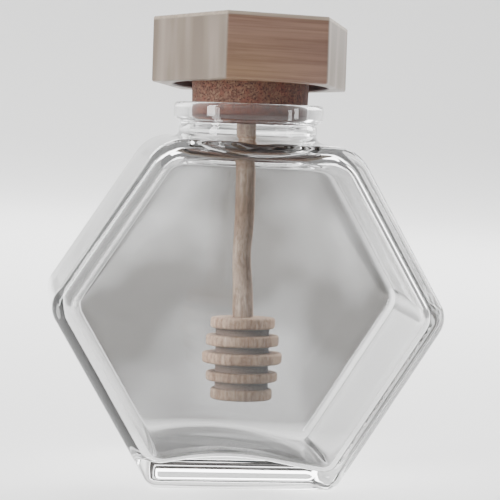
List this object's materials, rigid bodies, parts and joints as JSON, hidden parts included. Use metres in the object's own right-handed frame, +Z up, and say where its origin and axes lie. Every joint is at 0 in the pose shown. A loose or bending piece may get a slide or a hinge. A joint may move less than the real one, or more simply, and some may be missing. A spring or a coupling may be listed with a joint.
{
  "type": "honey pot with dipper",
  "caption": "Six-sided clear glass honey pot with a short round neck, a cork under a hexagonal wooden cap, and a ringed wooden dipper hanging from the cork; empty.",
  "frame": {"origin": "middle of the jar's flat underside", "axes": "+Z up through the neck, +X to the jar's right-hand corner, and the jar's wide front face looks along -Y"},
  "size_m": [0.1146, 0.057, 0.1375],
  "materials": {
    "clear_glass": "clear, polished, faintly grey",
    "cap_wood": "pale sanded wood, unvarnished",
    "cork_bark": "pressed cork grains, matt and pitted",
    "dipper_wood": "pale sanded wood, unvarnished"
  },
  "bodies": {
    "root": {"jar": "clear_glass", "lid": "cap_wood", "cork": "cork_bark", "dipper": "dipper_wood"}
  },
  "joints": []
}
